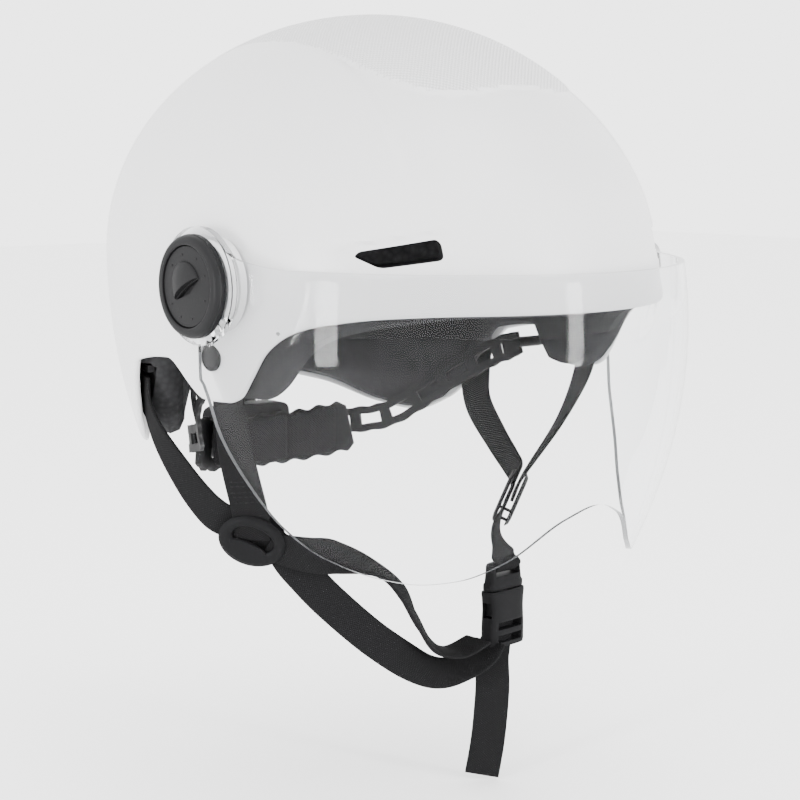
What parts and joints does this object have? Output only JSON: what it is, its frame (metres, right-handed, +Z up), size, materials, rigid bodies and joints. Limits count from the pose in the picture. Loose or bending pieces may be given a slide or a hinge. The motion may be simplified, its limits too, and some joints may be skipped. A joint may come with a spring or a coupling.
{
  "type": "riding helmet with visor",
  "caption": "White half-shell riding helmet with foam liner, clear flip-up visor on side knobs, dial-fit cradle, webbing straps with sliders and a side-release buckle.",
  "frame": {"origin": "centre of the head opening just below the front rim, where the wearer's head is held", "axes": "+Z up to the crown, the wearer faces -Y, the wearer's right is -X"},
  "size_m": [0.2552, 0.279, 0.3498],
  "materials": {
    "shell_white": "satin white moulded plastic",
    "foam": "dark grey bead foam with pale specks",
    "pad_fabric": "black brushed knit over foam",
    "base_plastic": "light grey moulded plastic",
    "steel": "zinc-plated steel",
    "visor_clear": "clear polycarbonate with polished edges",
    "dark_grey_plastic": "fine-grained dark grey plastic",
    "black_plastic": "satin black moulded plastic",
    "webbing": "black ribbed nylon webbing"
  },
  "bodies": {
    "root": {"outer_shell": "shell_white", "foam_liner": "foam", "brow_pad": "pad_fabric", "crown_pad": "pad_fabric", "side_pad_right": "pad_fabric", "side_pad_left": "pad_fabric", "rear_pad": "pad_fabric", "pivot_base_right": "base_plastic", "pivot_base_left": "base_plastic", "pivot_washers": "steel", "pivot_screws": "steel", "pivot_nuts": "steel", "strap_rivets": "dark_grey_plastic", "rivet_collars": "steel", "rear_anchors": "dark_grey_plastic", "cradle_studs": "dark_grey_plastic", "cradle_arm_right": "black_plastic", "cradle_arm_left": "black_plastic", "front_strap_right": "webbing", "front_strap_left": "webbing", "rear_strap_right": "webbing", "rear_strap_left": "webbing", "chin_strap_right_low": "webbing", "chin_strap_right_high": "webbing", "chin_strap_left": "webbing", "buckle_plug": "black_plastic", "buckle_prongs": "black_plastic"},
    "visor": {"visor": "visor_clear", "bezel_right": "dark_grey_plastic", "bezel_left": "dark_grey_plastic"},
    "knob_right": {"turn_knob_right": "dark_grey_plastic"},
    "knob_left": {"turn_knob_left": "dark_grey_plastic"},
    "cradle": {"cradle_band": "black_plastic", "nape_pad": "pad_fabric", "dial_housing": "black_plastic", "housing_cover": "black_plastic"},
    "dial": {"fit_dial": "black_plastic", "dial_pinion": "black_plastic"},
    "slider_right": {"slider_right": "black_plastic"},
    "slider_left": {"slider_left": "black_plastic"},
    "buckle": {"buckle_socket": "black_plastic", "strap_tail": "webbing"}
  },
  "joints": [
    {"name": "visor_tilt", "type": "hinge", "parent": "root", "child": "visor", "pos_m": [0, -0.025, 0.018], "axis": [-1, 0, 0], "range_deg": [0, 70]},
    {"name": "knob_right_turn", "type": "hinge", "parent": "root", "child": "knob_right", "pos_m": [-0.12, -0.025, 0.018], "axis": [-1, 0, 0], "range_deg": [0, 90]},
    {"name": "knob_left_turn", "type": "hinge", "parent": "root", "child": "knob_left", "pos_m": [0.12, -0.025, 0.018], "axis": [1, 0, 0], "range_deg": [0, 90]},
    {"name": "cradle_draw", "type": "slide", "parent": "root", "child": "cradle", "axis": [0, -1, 0], "range_m": [0, 0.02], "deforming": ["cradle_arm_right", "cradle_arm_left"]},
    {"name": "dial_turn", "type": "hinge", "parent": "cradle", "child": "dial", "pos_m": [0, 0.118, -0.066], "axis": [0, -1, 0], "range_deg": [0, 288]},
    {"name": "slider_right_slide", "type": "slide", "parent": "root", "child": "slider_right", "axis": [0.2569, 0.2999, -0.9187], "range_m": [-0.008, 0.008], "deforming": ["front_strap_right", "rear_strap_right", "chin_strap_right_low", "chin_strap_right_high"]},
    {"name": "slider_left_slide", "type": "slide", "parent": "root", "child": "slider_left", "axis": [-0.2569, 0.2999, -0.9187], "range_m": [-0.008, 0.008], "deforming": ["front_strap_left", "rear_strap_left", "chin_strap_left"]},
    {"name": "buckle_release", "type": "slide", "parent": "root", "child": "buckle", "axis": [0, 0, -1], "range_m": [0, 0.022], "deforming": ["buckle_prongs"]}
  ],
  "couplings": [
    {"joint": "dial_turn", "follows": "cradle_draw", "rad_per_m": 250}
  ]
}
